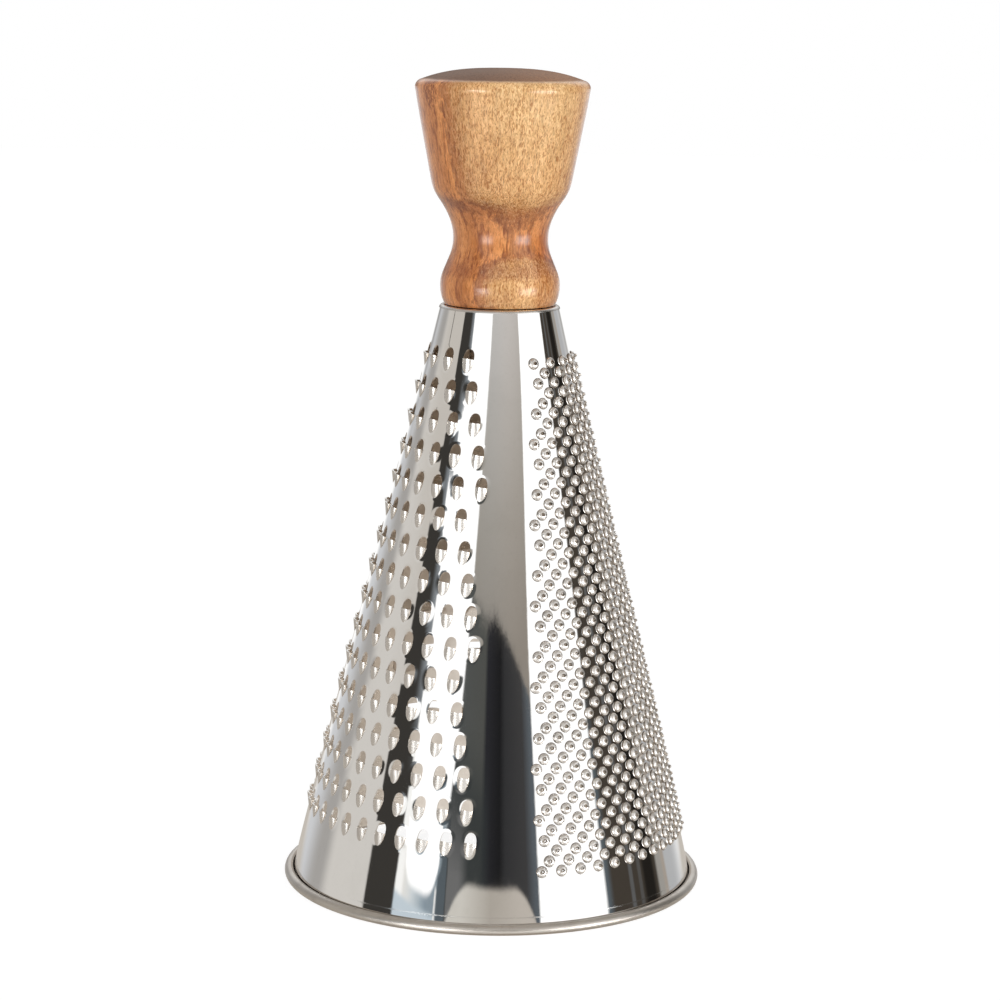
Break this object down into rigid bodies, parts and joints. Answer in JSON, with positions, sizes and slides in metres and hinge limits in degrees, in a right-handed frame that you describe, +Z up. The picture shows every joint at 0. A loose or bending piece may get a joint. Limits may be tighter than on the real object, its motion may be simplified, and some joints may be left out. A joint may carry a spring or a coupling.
{
  "type": "conical grater",
  "caption": "Free-standing conical sheet-steel grater with coarse teeth, fine rasp points and slicing slots, a curled foot hem and a turned wooden handle screwed on top.",
  "frame": {"origin": "centre of the circle on which the curled foot hem stands, on the table plane", "axes": "+Z up along the cone's axis; -Y is the front, where the plain strip between the coarse teeth (towards -X) and the fine rasp points (towards +X) faces the viewer"},
  "size_m": [0.1298, 0.1298, 0.251],
  "materials": {
    "polished_steel": "mirror-polished stainless sheet, satin on the inside and on the curled hem",
    "oiled_wood": "satin-oiled hardwood with dark pores",
    "brass": "machined",
    "zinc_plate": "zinc plated",
    "spring_steel": "dark spring steel",
    "screw_steel": "zinc plated"
  },
  "bodies": {
    "root": {"grating_cone": "polished_steel", "handle": "oiled_wood", "handle_insert": "brass", "clamp_plate": "zinc_plate", "spring_washer": "spring_steel", "handle_screw": "screw_steel"}
  },
  "joints": []
}
